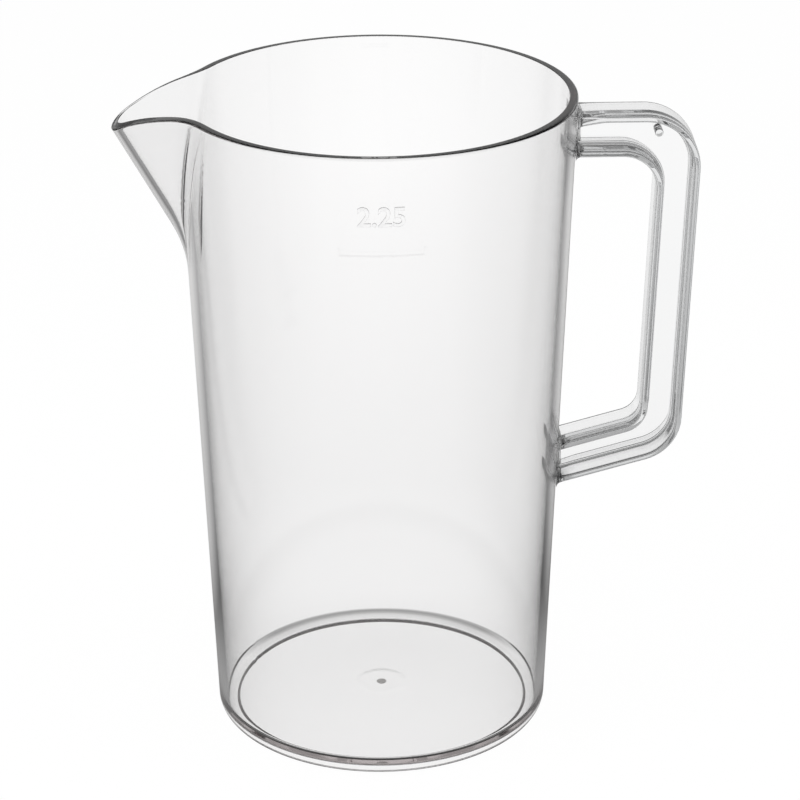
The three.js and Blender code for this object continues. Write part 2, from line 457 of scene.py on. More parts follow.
@dataclass
class JugBody:
    """The tapered body: crowned floor, wall, beak spout and rounded rim in one skin."""

    place: JugPlace
    wall: WallCone
    spout: BeakSpout
    finish: ClearMoulding
    line: FillLine = field(default_factory=FillLine)
    outer_edge: float = 0.9
    inner_edge: float = 0.3
    floor_height: float = 4.9
    floor_crown: float = 1.8
    corner_radius: float = 4.2
    fillet_radius: float = 2.4
    recess_radius: float = 53.0
    recess_depth: float = 2.2
    recess_edge: float = 0.65
    dimple_radius: float = 10.4
    dimple_flat: float = 0.65
    dimple_depth: float = 0.06
    outer_foot: Row = (4.5, 5.4, 8.0)
    inner_foot: Row = (8.6, 9.6)
    plain_wall: Row = (14.0, 26.0, 45.0, 70.0, 95.0, 120.0, 145.0, 160.0)
    spout_sector: float = math.radians(42)
    spout_steps: int = 60
    spout_crowding: float = 1.4
    round_steps: int = 84
    wall_steps: int = 44
    floor_steps: int = 26
    corner_steps: int = 14
    edge_steps: int = 8
    rim_steps: int = 7

    def angles(self) -> list[float]:
        """Turns from the ridge, crowded toward it on both sides.

        Returns:
            The turns that every ring takes, once round.
        """
        shares = spread(0, 1, self.spout_steps)[1:]
        side = [self.spout_sector * share**self.spout_crowding for share in shares]
        side += spread(self.spout_sector, math.pi, self.round_steps)[1:-1] + self.line.turns()
        side.sort()
        return [-angle for angle in reversed(side)] + [0.0] + side + [math.pi]

    @property
    def dish_top(self) -> float:
        """Height of the shallow dish in the middle of the underside."""
        return self.recess_depth + self.floor_crown + self.dimple_depth

    def crown(self, reach: float, edge: float) -> float:
        """Rise of the floor at a distance from the axis: level at its edge and at the middle."""
        return self.floor_crown * (1 + math.cos(math.pi * min(reach, edge) / edge)) / 2

    def underside(self) -> list[Pair]:
        """Radius and height of the rings from the middle of the underside to the wall's foot.

        Returns:
            The rings of the round lower part, outside.
        """
        edge = self.recess_radius - self.recess_edge
        top = self.dish_top
        inner = self.dimple_radius * self.dimple_flat
        rings = [(inner * share, top) for share in (0.1, 0.4, 0.7, 1.0)]
        for share in spread(0, 1, self.edge_steps)[1:]:
            reach = lerp(inner, self.dimple_radius, share)
            rings.append((reach, lerp(top, self.recess_depth + self.crown(reach, edge), ease(share))))
        for reach in spread(self.dimple_radius, edge, self.floor_steps)[1:]:
            rings.append((reach, self.recess_depth + self.crown(reach, edge)))
        soft = self.recess_edge
        for turn in spread(0, math.pi / 2, self.edge_steps)[1:]:
            rings.append((edge + soft * math.sin(turn), self.recess_depth - soft + soft * math.cos(turn)))
        for turn in spread(0, math.pi / 2, self.edge_steps):
            rings.append((edge + 2 * soft - soft * math.cos(turn), soft - soft * math.sin(turn)))
        centre = self.wall.radius(self.corner_radius) - self.corner_radius / math.cos(self.wall.lean)
        rings += [(lerp(edge + 2 * soft, centre, share), 0.0) for share in (0.3, 0.9)]
        for turn in spread(-math.pi / 2, -self.wall.lean, self.corner_steps):
            reach = centre + self.corner_radius * math.cos(turn)
            rings.append((reach, self.corner_radius * (1 + math.sin(turn))))
        rings += [(self.wall.radius(height), height) for height in (*self.outer_foot, *self.plain_wall)]
        return rings

    def inner_floor(self) -> list[Pair]:
        """Radius and height of the rings from the inner wall's foot to the middle of the floor.

        Returns:
            The rings of the round lower part, inside.
        """
        thick = self.wall.thickness
        heights = reversed((*self.inner_foot, *self.plain_wall))
        rings = [(self.wall.radius(height) - thick, height) for height in heights]
        height = self.floor_height + self.fillet_radius
        centre = self.wall.radius(height) - thick - self.fillet_radius / math.cos(self.wall.lean)
        for turn in spread(-self.wall.lean, -math.pi / 2, self.corner_steps):
            reach = centre + self.fillet_radius * math.cos(turn)
            rings.append((reach, height + self.fillet_radius * math.sin(turn)))
        for share in (0.995, 0.98, *spread(0.95, 0.02, self.floor_steps)):
            reach = centre * share
            rings.append((reach, self.floor_height + self.crown(reach, centre)))
        return rings

    def wall_shares(self) -> list[float]:
        """Shares of the way up the spout's part of the wall, crowded round the fill line and the rim.

        Returns:
            The shares in rising order.
        """
        low, high = self.spout.plain_below, self.wall.height - self.outer_edge
        heights = [self.line.height + off * self.line.width for off in spread(-0.6, 0.6, 14)]
        tick = self.line.height + self.line.tick_height
        heights += [tick + off * self.line.width for off in spread(0.0, 0.6, 6)]
        shares = {(height - low) / (high - low) for height in heights}
        return sorted(shares | set(spread(0, 1, self.wall_steps)) | {0.985, 0.995})

    def off_axis(self, angle: float, reach: float, height: float) -> Vector:
        """A point at a turn from the ridge, a distance from the axis and a height."""
        return Vector((-reach * math.cos(angle), -reach * math.sin(angle), height))

    def wall_ring(self, angles: list[float], share: float, inset: float) -> list[Vector]:
        """One ring of the wall between the plain cone and the rim's rounded edge.

        Args:
            angles: Turns from the ridge.
            share: Share of the way up.
            inset: 0 for the outside, the wall's thickness for the inside.

        Returns:
            The ring's points.
        """
        ring = []
        edge = self.outer_edge if inset == 0 else self.inner_edge
        for angle in angles:
            height = lerp(self.spout.plain_below, self.spout.lip(angle, inset) - edge, share)
            reach = self.spout.face(angle, height, inset)
            if inset == 0:
                reach += self.line.rise(angle, height)
            ring.append(self.off_axis(angle, reach, height))
        return ring

    def rim_ring(self, angles: list[float], turn: float, inset: float, side: int) -> list[Vector]:
        """One ring of a rounded rim edge.

        Args:
            angles: Turns from the ridge.
            turn: How far round the edge, 0 at the wall and a quarter turn on top.
            inset: 0 for the outside, the wall's thickness for the inside.
            side: -1 on the outer edge, 1 on the inner edge.

        Returns:
            The ring's points.
        """
        ring = []
        edge = self.outer_edge if inset == 0 else self.inner_edge
        for angle in angles:
            top = self.spout.lip(angle, inset)
            reach = self.spout.face(angle, top - edge, inset)
            reach += side * edge * (1 - math.cos(turn))
            height = top - edge * (1 - math.sin(turn))
            ring.append(self.off_axis(angle, reach, height))
        return ring

    def build(self) -> Thing:
        """Lofts the skin and dresses it.

        Returns:
            The body, which stands for its solid.
        """
        angles = self.angles()
        turns = spread(0, math.pi / 2, self.rim_steps)[1:]
        shares = self.wall_shares()
        rings = [[self.off_axis(angle, *ring) for angle in angles] for ring in self.underside()]
        rings += [self.wall_ring(angles, share, 0.0) for share in shares]
        rings += [self.rim_ring(angles, turn, 0.0, -1) for turn in turns]
        rings += [self.rim_ring(angles, turn, self.wall.thickness, 1) for turn in reversed(turns)]
        rings += [self.wall_ring(angles, share, self.wall.thickness) for share in reversed(shares)]
        rings += [[self.off_axis(angle, *ring) for angle in angles] for ring in self.inner_floor()]
        below, above = self.dish_top, self.floor_height + self.floor_crown
        points, faces = skin(rings, Vector((0, 0, below)), Vector((0, 0, above)))
        made = solid("jug_body_skin", points, faces, self.place)
        made.data.materials.append(self.finish.material())
        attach(made, ROOT)
        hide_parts(BODY_NODE)
        return made


@dataclass(frozen=True)
class TornScar:
    """Styrene acrylonitrile, torn where the melt's runner was broken off.

    The eye sees a small dull grey dot, because the torn face scatters the light.
    """

    name: str = "torn_san_gate_scar"
    pale: str = "#c9c9c9"
    dark: str = "#9c9c9c"
    grain: float = 0.7
    tear_height: float = 0.05
    roughness: float = 0.6

    def material(self) -> bpy.types.Material:
        """Makes the node material.

        Returns:
            A dull grey with the mottle of a torn face.
        """
        made = bpy.data.materials.new(self.name)
        tree = bare_tree(made)
        place = add_node(tree, "TexCoord")["Object"]
        mottle = add_node(
            tree, "TexNoise", {"Vector": place, "Scale": 1 / (self.grain * MM), "Detail": 2.0}
        )["Fac"]
        shade = add_node(
            tree,
            "Mix",
            {"Factor": mottle, "A": linear(self.dark), "B": linear(self.pale)},
            data_type="RGBA",
        )["Result"]
        rough = add_node(
            tree, "Bump", {"Height": mottle, "Strength": 1.0, "Distance": self.tear_height * MM}
        )["Normal"]
        face = add_node(
            tree,
            "BsdfPrincipled",
            {"Base Color": shade, "Roughness": self.roughness, "Normal": rough},
        )["BSDF"]
        add_node(tree, "OutputMaterial", {"Surface": face})
        return made


@dataclass
class GateScar:
    """The nub under the middle of the floor where the melt came in."""

    place: JugPlace
    dish_top: float
    finish: TornScar
    radius: float = 1.8
    height: float = 0.8
    overlap: float = 0.05
    steps: int = 48
    dome_steps: int = 8

    def build(self) -> Thing:
        """Turns the nub and dresses it.

        Returns:
            The nub, which hangs from the dish of the underside.
        """
        top = self.dish_top + self.overlap
        dome = (self.radius**2 + self.height**2) / (2 * self.height)
        sweep = math.asin(self.radius / dome)
        tip = self.dish_top - self.height
        profile = [(self.radius * share, top) for share in (0.5, 0.97)]
        profile.append((self.radius, top - self.overlap / 2))
        for turn in spread(sweep, 0, self.dome_steps)[:-1]:
            profile.append((dome * math.sin(turn), tip + dome * (1 - math.cos(turn))))
        turns = spread(0, 2 * math.pi, self.steps)[:-1]
        rings = [
            [Vector((reach * math.cos(turn), reach * math.sin(turn), height)) for turn in turns]
            for reach, height in profile
        ]
        points, faces = skin(rings, Vector((0, 0, top)), Vector((0, 0, tip)))
        made = solid("gate_scar", points, faces, self.place)
        made.data.materials.append(self.finish.material())
        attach(made, ROOT)
        return made


@dataclass
class MouldedNumber:
    """A plain number raised on the front wall above the fill line."""

    place: JugPlace
    wall: WallCone
    finish: ClearMoulding
    digits: str = "2.25"
    height: float = 213.0
    cap: float = 7.0
    relief: float = 0.4
    overlap: float = 0.05
    half_plate: float = 0.012
    bevel: float = 0.02
    bevel_steps: int = 2
    curve_steps: int = 6
    weld: float = 1e-5

    def flat(self) -> bmesh.types.BMesh:
        """The number as a flat plate with rounded edges, in shares of its type size.

        Returns:
            The plate, closed and welded.
        """
        curve = bpy.data.curves.new("number_outline", "FONT")
        curve.body = self.digits
        curve.align_x, curve.align_y = "CENTER", "CENTER"
        curve.resolution_u, curve.bevel_resolution = self.curve_steps, self.bevel_steps
        curve.extrude, curve.bevel_depth = self.half_plate, self.bevel
        outline = bpy.data.objects.new("number_outline", curve)
        bpy.context.scene.collection.objects.link(outline)
        graph = bpy.context.evaluated_depsgraph_get()
        mesh = bpy.data.meshes.new_from_object(outline.evaluated_get(graph))
        bpy.data.objects.remove(outline)
        bpy.data.curves.remove(curve)
        plate = bmesh.new()
        plate.from_mesh(mesh)
        bpy.data.meshes.remove(mesh)
        bmesh.ops.remove_doubles(plate, verts=plate.verts, dist=self.weld)
        return plate

    def build(self) -> Thing:
        """Wraps the plate round the wall and dresses it.

        Returns:
            The number, raised on the wall.
        """
        plate = self.flat()
        ups = [corner.co.y for corner in plate.verts]
        outs = [corner.co.z for corner in plate.verts]
        middle, scale = (max(ups) + min(ups)) / 2, self.cap / (max(ups) - min(ups))
        points = []
        for corner in plate.verts:
            share = (corner.co.z - min(outs)) / (max(outs) - min(outs))
            height = self.height + (corner.co.y - middle) * scale
            reach = self.wall.radius(height) + lerp(-self.overlap, self.relief, share)
            turn = corner.co.x * scale / self.wall.radius(height)
            points.append(Vector((reach * math.sin(turn), -reach * math.cos(turn), height)))
        plate.verts.index_update()
        faces = [tuple(corner.index for corner in face.verts) for face in plate.faces]
        plate.free()
        made = solid("front_number", points, faces, self.place)
        made.data.materials.append(self.finish.material())
        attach(made, ROOT)
        return made


class Edge(Enum):
    """The two edges of the handle's loop."""

    OUTER = "outer"
    INNER = "inner"


@dataclass
class LoopHandle:
    """A loop of I-section whose grip runs parallel to the wall."""

    place: JugPlace
    wall: WallCone
    finish: ClearMoulding
    width: float = 17.0
    depth: float = 14.5
    flange: float = 2.2
    flange_draft: float = math.radians(4)
    web: float = 2.8
    finger_gap: float = 28.4
    top: float = 226.1
    lower_height: float = 96.4
    lower_rise: float = math.radians(15.75)
    outer_top: float = 19.0
    inner_top: float = 12.0
    outer_bottom: float = 17.0
    inner_bottom: float = 8.0
    edge_radius: float = 0.7
    web_fillet: float = 0.9
    flare_length: float = 9.0
    flare_depth: float = 1.5
    flare_ease: float = 2.0
    root_gap: float = 0.3
    root_fillet: float = 1.5
    seam_reach: float = 77.4
    seam_width: float = 0.3
    seam_depth: float = 0.025
    seam_stations: tuple[int, int] = (10, 11)
    boss_radius: float = 1.45
    boss_front: float = 7.4
    boss_edge: float = 0.4
    boss_inset: float = 15.0
    boss_drop: float = 6.3
    boss_steps: int = 48
    edge_steps: int = 5
    bend_steps: int = 20
    flange_shares: Row = (0.0, 0.5, 0.95)
    draft_shares: Row = (0.06, 0.94)
    web_start: float = 0.3
    root_shares: Row = (0, 0.02, 0.05, 0.1, 0.16, 0.3, 0.5, 0.7, 0.9, 1)
    groove_shares: Row = (0.3, 0.7, 1)
    arm_shares: Row = (0.15, 0.4, 0.7, 0.95)
    grip_shares: Row = (0.01, 0.1, 0.3, 0.5, 0.7, 0.9, 0.99)
    foot_shares: Row = (0.02, 0.2, 0.5, 0.8, 0.955, 0.97, 0.985, 0.995, 1)

    def profile(self) -> list[tuple[Edge, float, float]]:
        """The I-section as edge, inset from that edge and place across the width.

        Returns:
            One closed turn round the section.
        """
        half, web, soft = self.width / 2, self.web / 2, self.edge_radius
        arc = spread(0, math.pi / 2, self.edge_steps)
        flat, fillet = half - soft, self.web_fillet
        side: list[Pair] = [(0.0, flat * share) for share in self.flange_shares]
        side += [(soft - soft * math.cos(t), flat + soft * math.sin(t)) for t in arc]
        side += [(self.flange - soft + soft * math.sin(t), flat + soft * math.cos(t)) for t in arc]
        root = web + fillet
        thick = self.flange + (flat - root) * math.tan(self.flange_draft)
        side += [(lerp(self.flange, thick, share), lerp(flat, root, share)) for share in self.draft_shares]
        side += [(thick + fillet - fillet * math.cos(t), root - fillet * math.sin(t)) for t in arc]
        side += [(thick + fillet + self.web_start, web)]
        far = [(Edge.OUTER, inset, y) for inset, y in side]
        far += [(Edge.INNER, inset, y) for inset, y in reversed(side)]
        near = [(edge, inset, -y) for edge, inset, y in reversed(far)]
        return far + near[1:-1]

    def grooved(self, groove: float) -> list[tuple[Edge, float, float]]:
        """The I-section with its outer faces sunk by a groove.

        Args:
            groove: How deep the groove is.

        Returns:
            One closed turn round the sunk section.
        """
        half = self.width / 2
        sunk = []
        for edge, inset, y in self.profile():
            deep = groove * (1 - clamp(inset / self.edge_radius))
            in_by = groove * clamp((abs(y) - half + self.edge_radius) / self.edge_radius)
            sunk.append((edge, inset + deep, math.copysign(abs(y) - in_by, y)))
        return sunk

    def swollen(self, swell: float) -> list[tuple[Edge, float, float]]:
        """The I-section grown outward by the fillet at its roots.

        Args:
            swell: How far each face moves out.

        Returns:
            One closed turn round the grown section.
        """
        corners = self.profile()
        flat = [(-inset if edge is Edge.OUTER else inset - self.depth, y) for edge, inset, y in corners]
        grown = []
        for step, (edge, inset, y) in enumerate(corners):
            before, after = flat[step - 1], flat[(step + 1) % len(flat)]
            along = Vector((after[0] - before[0], after[1] - before[1])).normalized()
            lift = along.y * swell
            grown.append((edge, inset - (lift if edge is Edge.OUTER else -lift), y - along.x * swell))
        return grown

    def swell(self, left: float) -> float:
        """How far the section has grown at a distance from the wall: a quarter round."""
        short = clamp(self.root_fillet - left, 0, self.root_fillet)
        return self.root_fillet - math.sqrt(self.root_fillet**2 - short**2)

    def root(self, height: float, rise: float, y: float) -> float:
        """Distance along X where an arm's line meets the wall.

        Args:
            height: Height of the line over the jug's axis.
            rise: Slope of the line.
            y: Place across the handle.

        Returns:
            The distance from the axis, a bond line short of the wall.
        """
        reach = self.wall.radius(height)
        for _ in range(ROUNDS):
            out = self.wall.radius(height + reach * rise) + self.root_gap
            reach = math.sqrt(out**2 - y**2)
        return reach

    def corner(self, first: Vector, middle: Vector, last: Vector, radius: float) -> list[Vector]:
        """Points of the arc that rounds one corner of the loop.

        Args:
            first: A point before the corner.
            middle: The corner.
            last: A point after the corner.
            radius: Radius of the arc.

        Returns:
            The arc's points, tangent to both sides.
        """
        back, ahead = (first - middle).normalized(), (last - middle).normalized()
        half = back.angle(ahead) / 2
        centre = middle + (back + ahead).normalized() * (radius / math.sin(half))
        start = middle + back * (radius / math.tan(half)) - centre
        end = middle + ahead * (radius / math.tan(half)) - centre
        sweep = math.pi - 2 * half
        whole = math.sin(sweep)
        return [
            centre + (start * math.sin(sweep * (1 - share)) + end * math.sin(sweep * share)) / whole
            for share in spread(0, 1, self.bend_steps)
        ]

    def flare(self, reach: float) -> float:
        """How far the top flange thickens downward on its way to the wall.

        Args:
            reach: Distance from the axis along X.

        Returns:
            The added depth.
        """
        left = self.wall.radius(self.top) + self.flare_length - reach
        steep = self.flare_depth / self.flare_length
        if left > self.flare_ease:
            return steep * left
        return steep * max(left + self.flare_ease, 0) ** 2 / (4 * self.flare_ease)

    def path(self, edge: Edge, inset: float, y: float) -> list[Vector]:
        """The line that one point of the section follows from the upper root to the lower root.

        Args:
            edge: The edge that the inset is measured from.
            inset: Distance into the section.
            y: Place across the handle.

        Returns:
            The line's points, the same number for every point of the section.
        """
        outer = edge is Edge.OUTER
        into = -inset if outer else inset
        slope = math.tan(self.lower_rise)
        foot = self.wall.base_radius + self.finger_gap + (self.depth if outer else 0.0) + into
        top = self.top - (0.0 if outer else self.depth) + into
        half = (self.depth / 2 - inset) / math.cos(self.lower_rise)
        middle = self.lower_height - self.wall.radius(self.lower_height) * slope
        low = middle + (-half if outer else half)
        upper = Vector((foot + self.wall.slope * top, 0.0, top))
        low_reach = (foot + self.wall.slope * low) / (1 - self.wall.slope * slope)
        lower = Vector((low_reach, 0.0, low + low_reach * slope))
        start = Vector((self.root(top, 0.0, y), 0.0, top))
        end_reach = self.root(low, slope, y)
        end = Vector((end_reach, 0.0, low + end_reach * slope))
        radii = (self.outer_top - inset, self.outer_bottom - inset)
        if not outer:
            radii = (self.inner_top + inset, self.inner_bottom + inset)
        bend_up = self.corner(start, upper, lower, radii[0])
        bend_down = self.corner(upper, lower, end, radii[1])
        near, far = self.seam_reach - self.seam_width / 2, self.seam_reach + self.seam_width / 2
        reaches = [lerp(start.x, near, share) for share in self.root_shares]
        reaches += [lerp(near, far, share) for share in self.groove_shares]
        reaches += [lerp(far, bend_up[0].x, share) for share in self.arm_shares]
        line = [Vector((reach, 0.0, top)) for reach in reaches] + bend_up
        line += [bend_up[-1].lerp(bend_down[0], share) for share in self.grip_shares]
        line += bend_down
        line += [bend_down[-1].lerp(end, share) for share in self.foot_shares]
        for point in line:
            point.y = y
            if outer and point.z > self.top - self.depth / 2:
                point.z -= self.flare(point.x) * clamp((inset - self.edge_radius) / self.edge_radius)
        return line

    def boss(self) -> Thing:
        """The round boss on the web that the ejector pin pushed on, close under the upper corner.

        Returns:
            The boss as a body of its own, sunk into the web.
        """
        height = self.top - self.boss_drop
        reach = self.wall.radius(height) + self.finger_gap + self.depth - self.boss_inset
        soft, radius = self.boss_edge, self.boss_radius
        profile = [
            (radius - soft + soft * math.sin(turn), -self.boss_front + soft - soft * math.cos(turn))
            for turn in spread(0, math.pi / 2, self.edge_steps)
        ]
        turns = spread(0, 2 * math.pi, self.boss_steps)[:-1]
        rings = [
            [Vector((reach + out * math.cos(turn), y, height + out * math.sin(turn))) for turn in turns]
            for out, y in (*profile, (radius, 0.0))
        ]
        points, faces = skin(rings, Vector((reach, -self.boss_front, height)), Vector((reach, 0.0, height)))
        return solid("ejector_boss", points, faces, self.place)

    def build(self) -> Thing:
        """Sweeps the I-section round the loop, joins the boss to it and dresses the handle.

        Returns:
            The handle, which stands for its solid.
        """
        flat = [self.path(*corner) for corner in self.profile()]
        sunk = [self.path(*corner) for corner in self.grooved(self.seam_depth)]
        count, length = len(flat), len(flat[0])
        points = []
        for station in range(length):
            source = sunk if station in self.seam_stations else flat
            end = 0 if station < length / 2 else length - 1
            swell = self.swell((flat[0][station] - flat[0][end]).length)
            if swell > 0:
                source = [self.path(*corner) for corner in self.swollen(swell)]
            points += [source[corner][station] for corner in range(count)]
        ends = (0, (length - 1) * count)
        faces: Faces = [tuple(range(start, start + count)) for start in ends]
        for station in range(length - 1):
            for corner in range(count):
                low, after = station * count, (corner + 1) % count
                faces.append((low + corner, low + after, low + count + after, low + count + corner))
        made = solid("handle_loop", points, faces, self.place)
        boss = self.boss()
        weld = made.modifiers.new("ejector_boss", "BOOLEAN")
        weld.operation = "UNION"
        weld.solver = "EXACT"
        weld.object = boss
        graph = bpy.context.evaluated_depsgraph_get()
        welded = bpy.data.meshes.new_from_object(made.evaluated_get(graph))
        made.modifiers.clear()
        made.data = welded
        bpy.data.objects.remove(boss)
        made.data.materials.clear()
        made.data.materials.append(self.finish.material())
        made.data.shade_smooth()
        made.data.set_sharp_from_angle(angle=math.radians(CRISP))
        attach(made, ROOT)
        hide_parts(HANDLE_NODE)
        return made


@dataclass(frozen=True)
class SoftLamp:
    """A square lamp: where it hangs, its power in watts, the point that it faces and its width."""

    name: str
    spot: Spot
    power: float
    aim: Spot = (0.0, 0.0, 0.12)
    width: float = 0.6


@dataclass
class Studio:
    """A pale floor, a white surround and soft lamps. Lengths are in metres, levels in shares of white.

    The floor and the surround are white where they are looked at, save a painted contact shadow behind the
    jug's foot.
    Reflections see a painted room on the floor instead, with painted dark flags and painted shade near and
    under the jug:
    left and right hold its levels by bearing, in degrees from straight behind the jug.
    """

    place: JugPlace
    floor_size: float = 8.0
    floor_drop: float = 0.0002
    floor_colour: str = "#f4f4f4"
    shine_through: float = 0.965
    # Painted dark flags on the floor, seen only in reflections, by bearing.
    left_half: float = 0.056
    right_half: float = 0.066
    left: tuple[Pair, ...] = (
        *((14, 0.8), (24, 0.75), (32, 0.55), (44, 0.2), (60, 0.4)),
        *((90, 0.45), (110, 0.55), (130, 0.75), (155, 0.9), (180, 0.9)),
    )
    right: tuple[Pair, ...] = (
        *((0, 0.85), (2, 0.8), (5, 0.25), (10, 0.25), (16, 0.6), (26, 0.55), (36, 0.2)),
        *((50, 0.1), (64, 0.3), (90, 0.35), (110, 0.42), (130, 0.55), (150, 0.8), (180, 0.9)),
    )
    # Painted shade on the floor for reflections, dimmer near the jug.
    near_far: Pair = (0.07, 0.62)
    near_level: float = 0.15
    behind: Pair = (0.04, 0.12)
    behind_level: float = 0.55
    # Painted glow of a white card that isn't there, seen only in light turned twice in the handle.
    card_spot: Spot = (0.14, 0.36, 0.0)
    card_edge: Pair = (0.16, 0.3)
    card_level: float = 0.95
    # Painted shade on the floor for reflections, round and under the jug's foot.
    beside: Pair = (0.07, 0.15)
    beside_level: float = 0.3
    shade: Pair = (0.0575, 0.0597)
    shade_level: float = 0.05
    under: Pair = (0.030, 0.054)
    under_level: float = 0.45
    # Painted contact shadow on the floor behind the jug's foot, for straight looks.
    contact_shift: float = 0.005
    contact: Spot = (0.050, 0.0580, 0.0602)
    contact_shadow_depth: float = 0.65
    contact_start: Pair = (0.025, 0.045)
    ambient: float = 0.55
    back_wall: Pair = (0.5, 0.8)
    back_level: float = 0.55
    dark: float = 0.05
    most_bounces: int = 28
    straight_below: float = 0.5
    turned_above: float = 1.5
    one_piece_below: float = 2.5
    lamps: tuple[SoftLamp, ...] = (
        SoftLamp("key_softbox", (-0.9, -0.5, 1.3), 14.0),
        SoftLamp("fill_softbox", (1.0, -0.3, 1.1), 8.0),
    )

    def seen(self, tree: Tree) -> Socket:
        """1 for rays that look straight at the surround, or through clear plastic at it.

        Args:
            tree: The tree that asks.

        Returns:
            The factor, 0 for rays that came by way of a reflection.
        """
        path = add_node(tree, "LightPath")
        looks = {0: path["Is Camera Ray"], 1: path["Is Transmission Ray"]}
        ahead = add_node(tree, "Math", looks, operation="MAXIMUM")[0]
        turns = {0: path["Glossy Depth"], 1: self.straight_below}
        straight = add_node(tree, "Math", turns, operation="LESS_THAN")[0]
        return add_node(tree, "Math", {0: ahead, 1: straight}, operation="MULTIPLY")[0]

    def distance(self, tree: Tree, spot: Socket, centre: Spot) -> Socket:
        """Distance of a spot on the floor from a point."""
        ends = {0: spot, 1: centre}
        return add_node(tree, "VectorMath", ends, operation="DISTANCE")["Value"]

    def painted_flag_level(self, tree: Tree, parts: Outputs) -> Socket:
        """Brightness of the painted room by bearing, with its painted dark flags, from the nearer side of
        the jug.

        Args:
            tree: The tree that asks.
            parts: X, Y and Z of a place on the floor.

        Returns:
            The level.
        """
        edges = ((self.right_half, "MAXIMUM"), (-self.left_half, "MINIMUM"))
        past = []
        for half, keep in edges:
            sockets = {0: parts["X"], 1: self.place.axis_x + half}
            off = add_node(tree, "Math", sockets, operation="SUBTRACT")[0]
            past.append(add_node(tree, "Math", {0: off, 1: 0.0}, operation=keep)[0])
        aside = add_node(tree, "Math", {0: past[0], 1: past[1]}, operation="ADD")[0]
        sides = {0: aside, 1: parts["Y"]}
        bearing = add_node(tree, "Math", sides, operation="ARCTAN2")[0]
        circle = {"Value": bearing, "From Min": -math.pi, "From Max": math.pi}
        share = add_node(tree, "MapRange", circle)[0]
        ramp = add_node(tree, "ValToRGB", {"Fac": share})["Color"]
        stops = ramp.node.color_ramp.elements
        bearings = [(-turn, level) for turn, level in reversed(self.left)] + list(self.right)
        while len(stops) < len(bearings):
            stops.new(0.5)
        for stop, (turn, level) in zip(stops, bearings):
            stop.position = turn / 360 + 0.5
            stop.color = (level, level, level, 1)
        return ramp

    def painted_room_level(self, tree: Tree, spot: Socket) -> Socket:
        """Painted reflection level of the floor: painted dark flags at the sides, painted shade dimmer near
        the jug and dark below it.

        Args:
            tree: The tree that asks.
            spot: A place on the floor.

        Returns:
            The level.
        """
        parts = add_node(tree, "SeparateXYZ", {0: spot})
        away = self.distance(tree, spot, (self.place.axis_x, 0.0, -self.floor_drop))
        behind = {"Value": parts["Y"], "From Min": self.behind[0], "From Max": self.behind[1]}
        behind |= {"To Min": self.near_level, "To Max": self.behind_level}
        near = add_node(tree, "MapRange", behind)[0]
        level = self.painted_flag_level(tree, parts)
        # Painted shade: dimmer near the jug, lighter beside it, dark under its foot ring, lighter under the
        # middle of its floor.
        for (start, end), low, high, slope, joined in (
            (self.near_far, near, 1.0, "LINEAR", "MULTIPLY"),
            (self.beside, self.beside_level, 0.0, "LINEAR", "MAXIMUM"),
            (self.shade, self.shade_level, 1.0, "SMOOTHSTEP", "MULTIPLY"),
            (self.under, self.under_level, 0.0, "SMOOTHSTEP", "MAXIMUM"),
        ):
            sockets = {"Value": away, "From Min": start, "From Max": end, "To Min": low, "To Max": high}
            zone = add_node(tree, "MapRange", sockets, interpolation_type=slope)[0]
            level = add_node(tree, "Math", {0: level, 1: zone}, operation=joined)[0]
        return level

    def painted_card_glow(self, tree: Tree, spot: Socket) -> Socket:
        """Painted glow of a white card that isn't there, on the floor behind the handle, for light that the
        handle turned twice inside.

        Args:
            tree: The tree that asks.
            spot: A place on the floor.

        Returns:
            The level, 0 away from the painted card and for all other light.
        """
        path = add_node(tree, "LightPath")
        away = self.distance(tree, spot, self.card_spot)
        sockets = {"Value": away, "From Min": self.card_edge[0], "From Max": self.card_edge[1]}
        sockets |= {"To Min": self.card_level, "To Max": 0.0}
        level = add_node(tree, "MapRange", sockets)[0]
        for depth, limit, test in (
            ("Glossy Depth", self.turned_above, "GREATER_THAN"),
            ("Transmission Depth", self.one_piece_below, "LESS_THAN"),
        ):
            held = add_node(tree, "Math", {0: path[depth], 1: limit}, operation=test)[0]
            level = add_node(tree, "Math", {0: level, 1: held}, operation="MULTIPLY")[0]
        return level

    def white_with_painted_shadow(self, tree: Tree, spot: Socket) -> Socket:
        """Brightness of the floor for straight looks: white, with a painted contact shadow behind the jug's
        foot.

        Args:
            tree: The tree that asks.
            spot: A place on the floor.

        Returns:
            The level.
        """
        # Painted contact shadow: a darker ring on the floor, offset behind the jug's foot.
        away = self.distance(tree, spot, (self.place.axis_x, self.contact_shift, -self.floor_drop))
        inner, middle, outer = self.contact
        reach = {"Value": away, "From Min": inner, "From Max": outer}
        share = add_node(tree, "MapRange", reach)[0]
        ramp = add_node(tree, "ValToRGB", {"Fac": share})["Color"]
        stops = ramp.node.color_ramp.elements
        stops.new((middle - inner) / (outer - inner))
        for stop, depth in zip(stops, (0.0, self.contact_shadow_depth, 0.0)):
            stop.color = (depth, depth, depth, 1)
        parts = add_node(tree, "SeparateXYZ", {0: spot})
        start, end = self.contact_start
        behind = {"Value": parts["Y"], "From Min": start, "From Max": end}
        back = add_node(tree, "MapRange", behind)[0]
        shadow = add_node(tree, "Math", {0: ramp, 1: back}, operation="MULTIPLY")[0]
        return add_node(tree, "Math", {0: 1.0, 1: shadow}, operation="SUBTRACT")[0]

